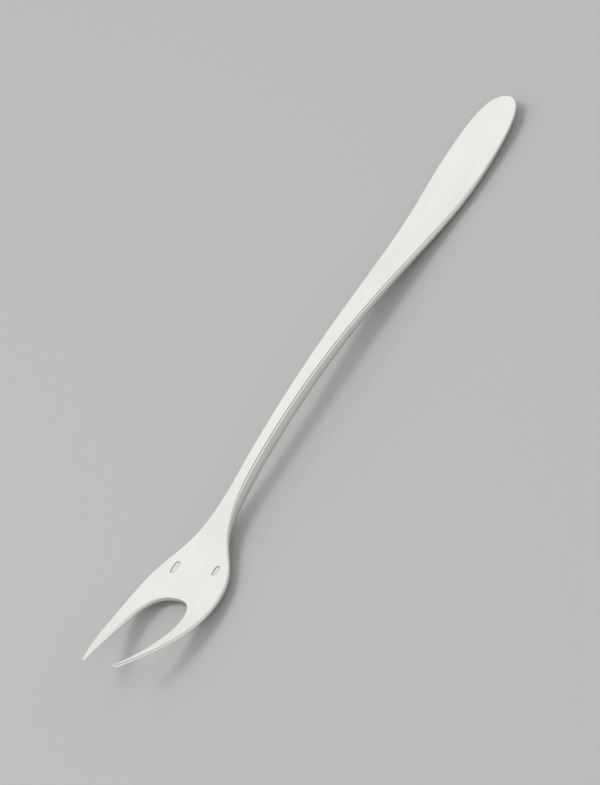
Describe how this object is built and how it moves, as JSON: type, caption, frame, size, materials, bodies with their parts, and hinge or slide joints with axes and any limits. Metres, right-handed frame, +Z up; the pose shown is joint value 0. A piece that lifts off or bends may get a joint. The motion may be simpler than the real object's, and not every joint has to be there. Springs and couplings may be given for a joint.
{
  "type": "oyster fork",
  "caption": "Slim table fork with a flared flat handle, an arched neck and a broad head whose tines curve in round an open gap, for loosening and lifting oysters.",
  "frame": {"origin": "on the table that the fork lies on, under the middle of its length and width", "axes": "+X along the fork from the tine tips to the handle end, +Z up out of the flat face"},
  "size_m": [0.15, 0.0192, 0.009],
  "materials": {
    "silver": "fine satin silver with soft polished edges"
  },
  "bodies": {
    "root": {"handle": "silver", "neck": "silver", "head": "silver", "left_tine": "silver", "right_tine": "silver"}
  },
  "joints": []
}
